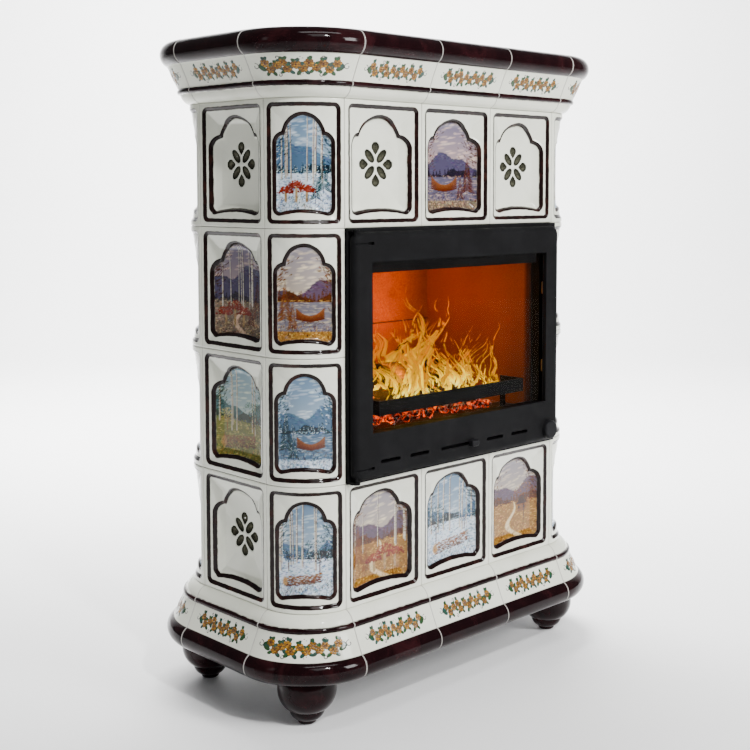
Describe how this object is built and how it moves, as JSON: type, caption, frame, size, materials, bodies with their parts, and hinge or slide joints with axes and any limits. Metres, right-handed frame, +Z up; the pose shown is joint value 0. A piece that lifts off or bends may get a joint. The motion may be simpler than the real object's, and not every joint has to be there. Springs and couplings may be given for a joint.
{
  "type": "tiled wood stove",
  "caption": "Free-standing tiled wood stove: glazed relief tiles and cornices round a firebox with a glazed side-hung door, on turned feet.",
  "frame": {"origin": "on the floor, under the middle of the stove's outer box", "axes": "+Z up, the door faces -Y, +X to the right of someone facing the door"},
  "size_m": [0.924, 0.524, 1.305],
  "materials": {
    "cream_glaze": "gloss",
    "brown_glaze": "gloss",
    "black_iron": "matte paint",
    "black_handles": "matte",
    "black_sheet": "matte",
    "firebox_steel": "matte",
    "plain_steel": "zinc plated",
    "firebox_lining": "rough",
    "pane_glass": "clear",
    "rope_gasket": "woven"
  },
  "bodies": {
    "root": {"air_box": "firebox_steel", "air_deflector": "firebox_steel", "ash_pan": "firebox_steel", "back_panel": "black_sheet", "baffle": "firebox_lining", "base_frame": "firebox_steel", "corner_tiles_front_left": "cream_glaze", "corner_tiles_front_right": "cream_glaze", "corner_tiles_rear_left": "cream_glaze", "corner_tiles_rear_right": "cream_glaze", "cornice_corners": "cream_glaze", "cornice_front": "cream_glaze", "cornice_rear": "cream_glaze", "cornice_sides": "cream_glaze", "door_frame": "black_iron", "firebox_shell": "firebox_steel", "firebox_stand": "firebox_steel", "flue_collar": "black_sheet", "flue_pipe": "black_sheet", "foot_front_left": "brown_glaze", "foot_front_right": "brown_glaze", "foot_rear_left": "brown_glaze", "foot_rear_right": "brown_glaze", "foot_studs": "plain_steel", "frame_screws": "plain_steel", "front_tile_bottom_left": "cream_glaze", "front_tile_bottom_middle": "cream_glaze", "front_tile_bottom_right": "cream_glaze", "front_tile_top_left": "cream_glaze", "front_tile_top_middle": "cream_glaze", "front_tile_top_right": "cream_glaze", "grate": "black_iron", "hinge_pins": "black_iron", "latch_keeper": "plain_steel", "left_tile_bottom": "cream_glaze", "left_tile_lower": "cream_glaze", "left_tile_top": "cream_glaze", "left_tile_upper": "cream_glaze", "lining_floor": "firebox_lining", "lining_left": "firebox_lining", "lining_rear": "firebox_lining", "lining_right": "firebox_lining", "log_bar": "black_iron", "plinth_corners": "cream_glaze", "plinth_front": "cream_glaze", "plinth_rear": "cream_glaze", "plinth_sides": "cream_glaze", "right_tile_bottom": "cream_glaze", "right_tile_lower": "cream_glaze", "right_tile_top": "cream_glaze", "right_tile_upper": "cream_glaze", "tile_clips": "plain_steel", "top_plate": "black_sheet"},
    "door": {"door_leaf": "black_iron", "door_glass": "pane_glass", "glass_clips": "plain_steel", "door_gasket": "rope_gasket", "slide_rails": "plain_steel"},
    "latch": {"door_latch": "black_handles"},
    "air_control": {"air_slide": "black_handles"}
  },
  "joints": [
    {"name": "door_hinge", "type": "hinge", "parent": "root", "child": "door", "pos_m": [-0.29, -0.22315, 0.69], "axis": [0, 0, -1], "range_deg": [0, 110]},
    {"name": "latch_turn", "type": "hinge", "parent": "door", "child": "latch", "pos_m": [0.264, -0.223, 0.482], "axis": [0, -1, 0], "range_deg": [0, 90]},
    {"name": "air_slide_travel", "type": "slide", "parent": "door", "child": "air_control", "axis": [-1, 0, 0], "range_m": [0, 0.075]}
  ]
}
